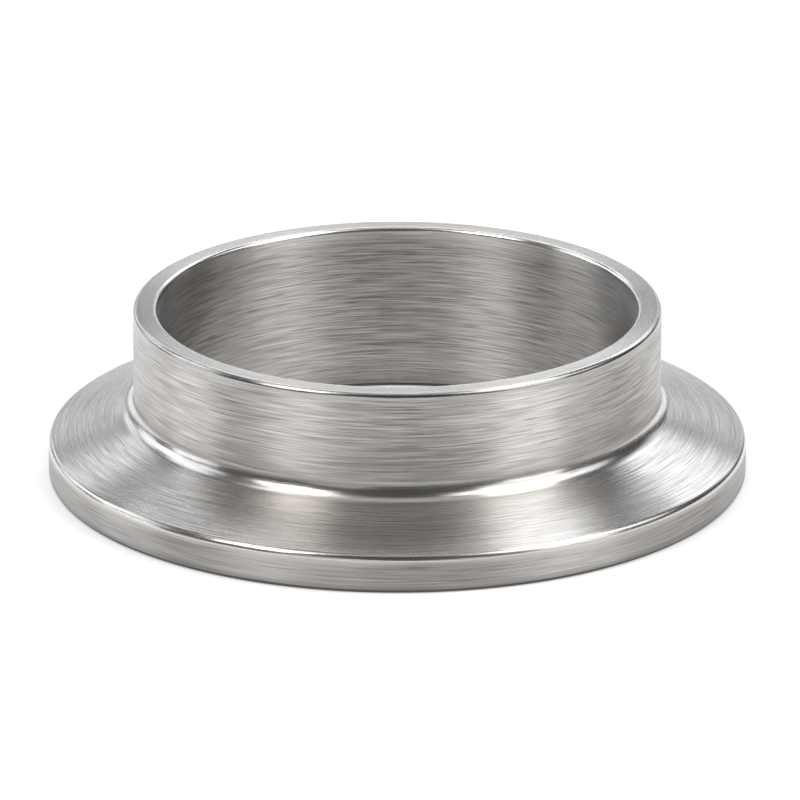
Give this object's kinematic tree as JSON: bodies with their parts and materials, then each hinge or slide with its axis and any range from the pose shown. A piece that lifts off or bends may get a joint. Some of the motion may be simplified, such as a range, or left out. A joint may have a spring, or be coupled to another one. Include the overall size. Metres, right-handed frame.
{
  "type": "sanitary clamp ferrule",
  "caption": "Turned stainless ring with a thin tapered clamp flange, a short straight weld stub, a through bore and a gasket groove in the clamp face.",
  "frame": {"origin": "centre of the clamp (gasket) face, on the bore axis", "axes": "+Z along the bore axis, from the clamp face towards the weld end; the ring is the same all the way round, so X and Y are free"},
  "size_m": [0.0506, 0.0506, 0.0125],
  "materials": {
    "steel": "brushed round the axis, edges and root blend smooth and bright"
  },
  "bodies": {
    "root": {"ferrule": "steel"}
  },
  "joints": []
}
